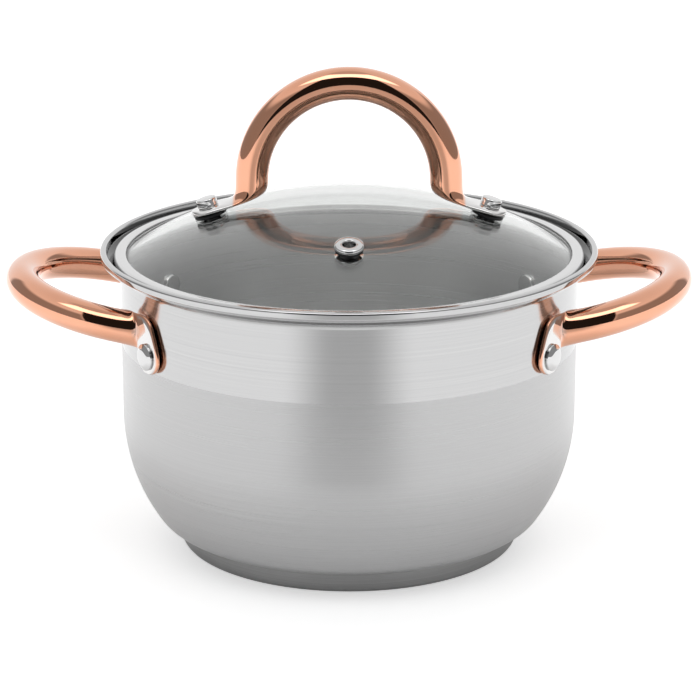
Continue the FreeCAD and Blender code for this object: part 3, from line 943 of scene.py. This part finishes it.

# %% [markdown]
# ### Copper plating
#
# The tubes are polished before they are plated, so the copper is nearly a
# mirror under its clear lacquer. Its colour comes from the metal itself, and a
# slow noise shifts it a little, as plating does where it is thicker. The pads
# are painted a pale steel grey: a painted reflection of a bright light on their
# flat faces. On the side handles that is the flat outer face only, so their
# edges stay copper: the mask is a turn round the pot times a distance out from
# the wall. On the lid handle it is the whole foot, from the fold outwards.

# %% Polished copper plate


def plate_copper(name):
    """A copper finish, with its place across, ahead and up to make the mask from."""
    copper = Finish(name, (0.88, 0.4, 0.23), 0.06, metallic=1.0)
    cloud = copper.span(copper.noise(copper.place, scale=45, detail=2.0), 0.0, 1.0, 0.3, 0.7)
    copper.tint = copper.blend(cloud, (0.87, 0.385, 0.215), (0.90, 0.42, 0.25))
    wear = copper.noise(copper.place, scale=500, detail=2.0)
    copper.give(copper.span(wear, 0.03, 0.075, 0.3, 0.7), "Roughness")
    copper.give(1.0, "Coat Weight")
    copper.give(0.03, "Coat Roughness")
    copper.give(1.75, "Coat IOR")
    return copper


def paint_pad_reflection(copper, mask):
    """Paint pale steel grey where the mask is 1, as a painted reflection of a bright light."""
    # The pale grey is a painted reflection of a bright light on the flat pads.
    copper.give(copper.blend(mask, copper.tint, (0.76, 0.75, 0.74)), "Base Color")


side_copper = plate_copper("copper_plating_side")
x, y, z = side_copper.split(side_copper.place)
x, y = side_copper.math("ABSOLUTE", x), side_copper.math("ABSOLUTE", y)
turned = side_copper.span(side_copper.math("ARCTAN2", y, x), 0.0, 1.0, math.radians(29.2),
                          math.radians(30.4), smooth=True)
stand = side_copper.math("MULTIPLY_ADD", x, math.cos(rivet_turn),
                         side_copper.math("MULTIPLY", y, math.sin(rivet_turn)))
wall_face = (pot_radius + WALL_GAP + PAD) * MM
on_face = side_copper.span(stand, 0.0, 1.0, wall_face - 0.0007, wall_face - 0.0002, smooth=True)
# Painted reflection on the flat outer face of each side pad.
paint_pad_reflection(side_copper, side_copper.math("MULTIPLY", turned, on_face))
coat(side_copper, "left_copper_handle", "right_copper_handle")

lid_copper = plate_copper("copper_plating_lid")
x, y, z = lid_copper.split(lid_copper.place)
# Painted reflection on the whole foot of the lid handle.
paint_pad_reflection(lid_copper, lid_copper.span(lid_copper.math("ABSOLUTE", x), 0.0, 1.0, 0.0448, 0.0462, smooth=True))
coat(lid_copper, "lid_copper_handle")

# %% [markdown]
# ### Glass and silicone

# %% Clear glass and silicone
glass = Finish("clear_glass", (0.97, 0.985, 0.975), 0.0)
glass.shader.inputs["Transmission Weight"].default_value = 1.0
glass.shader.inputs["IOR"].default_value = 1.5
coat(glass, "glass_dome")

rubber = Finish("dark_silicone", (0.03, 0.03, 0.032), 0.45)
grain = rubber.noise(rubber.place, scale=1800, detail=2.0)
rubber.give(rubber.span(grain, 0.38, 0.55, 0.3, 0.7), "Roughness")
rubber.bump(grain, 0.15, 0.00003)
coat(rubber, "left_grommet", "right_grommet", "vent_seal")

# %% [markdown]
# ## The studio
#
# Polished metal only looks right with something to reflect. A product
# photographer surrounds a pot with white, hangs a soft light above it and
# leaves a dark gap behind the camera, which draws the crisp black stripes on
# the handles. Real lamps and screens could be placed instead, but here that
# room is painted on the world, by direction: pale walls, greyer low sides and
# ceiling, one bright soft light, and last the dark gap over them all.

# %% Paint the room by direction
studio = bpy.data.worlds.new("studio")
bpy.context.scene.world = studio
studio.use_nodes = True
room = NodeBench(studio.node_tree, "Generated")
x, y, z = room.split(room.place)
turn_from_front = room.math("ABSOLUTE", room.math("ARCTAN2", x, room.math("MULTIPLY", y, -1.0)))
rise = room.math("ARCSINE", z)


def between(value, low, high, soft):
    """1 where value lies between two angles in degrees, with soft edges."""
    enter = room.span(value, 0.0, 1.0, math.radians(low - soft), math.radians(low + soft), smooth=True)
    leave = room.span(value, 1.0, 0.0, math.radians(high - soft), math.radians(high + soft), smooth=True)
    return room.math("MULTIPLY", enter, leave)


def paint(under, mask, brightness):
    """Lay a patch of that brightness over what is already painted."""
    keep = room.math("MULTIPLY", under, room.math("SUBTRACT", 1.0, mask))
    return room.math("ADD", keep, room.math("MULTIPLY", mask, brightness))


walls = room.span(rise, 0.95, 0.75, 0.0, math.radians(80), smooth=True)
sides = between(turn_from_front, 29, 135, 4)
low_sides = room.math("MULTIPLY", sides, between(rise, -30, 35, 6))
light = paint(walls, low_sides, 0.3)
ceiling = between(rise, 76, 100, 3)
light = paint(light, ceiling, 0.55)
softbox = room.math("MULTIPLY", between(turn_from_front, -90, 70, 6), between(rise, 55, 77, 1.5))
light = paint(light, softbox, 2.3)
gap = room.math("MULTIPLY", between(turn_from_front, -90, 29, 0.8), between(rise, -9, 55, 1.0))
light = paint(light, gap, 0.015)
background = room.nodes["Background"]
room.join(light, background.inputs["Strength"])
seen = room.nodes.new("ShaderNodeBackground")
choose = room.nodes.new("ShaderNodeMixShader")
room.join(room.nodes.new("ShaderNodeLightPath").outputs["Is Camera Ray"], choose.inputs[0])
room.join(background.outputs[0], choose.inputs[1])
room.join(seen.outputs[0], choose.inputs[2])
background.inputs["Color"].default_value = (1, 1, 1, 1)
seen.inputs["Color"].default_value = (1, 1, 1, 1)
room.join(choose.outputs[0], room.nodes["World Output"].inputs["Surface"])

# %% [markdown]
# The floor is a plain pale sheet. It glows a little, like a lit sweep, so that
# the pot's shadow on it stays faint. The camera sees that glow evenly, but what
# the metal mirrors is shaded: the glow fades out in front of the pot, which
# leaves a soft darker band up the middle of the curved wall, and it fades
# towards the foot of the pot, which darkens the belly and the base.

# %% Lay the floor
start_piece()
bpy.ops.mesh.primitive_circle_add(vertices=96, radius=7, fill_type="NGON", location=(0, 0, -0.0002))
floor = bpy.context.object
floor.name = "floor"
sweep = Finish("pale_floor", (0.8, 0.8, 0.8), 0.6)
sweep.shader.inputs["Specular IOR Level"].default_value = 0.2
sweep.shader.inputs["Emission Color"].default_value = (1, 1, 1, 1)
x, y, z = sweep.split(sweep.place)
aside = sweep.math("ABSOLUTE", sweep.math("ARCTAN2", x, sweep.math("MULTIPLY", y, -1.0)))
aside = sweep.span(aside, 0.0, 1.0, math.radians(6), math.radians(30), smooth=True)
nearby = sweep.span(y, 0.0, 1.0, -0.32, -0.18, smooth=True)
far_glow = sweep.span(sweep.length(sweep.place), 0.3, 1.0, 0.07, 0.28, smooth=True)
straight = sweep.nodes.new("ShaderNodeLightPath").outputs["Is Camera Ray"]
mirrored_glow = sweep.math("MULTIPLY", sweep.math("MAXIMUM", aside, nearby), far_glow)
glow = sweep.math("MAXIMUM", mirrored_glow, straight)
sweep.give(sweep.math("MULTIPLY", glow, 0.54), "Emission Strength")
coat(sweep, "floor")

# %% [markdown]
# ## The camera
#
# A long lens from about a metre away, looking a little down.

# %% Place the camera
camera = bpy.data.objects.new("camera", bpy.data.cameras.new("camera"))
bpy.context.scene.collection.objects.link(camera)
bpy.context.scene.camera = camera
camera.location = (0, -1.07048, 0.40431)
camera.rotation_euler = (math.pi / 2 - 0.29658, 0, 0)
camera.data.lens = 143.7
camera.data.shift_x = 0.0013
bpy.context.scene.view_settings.view_transform = "Standard"
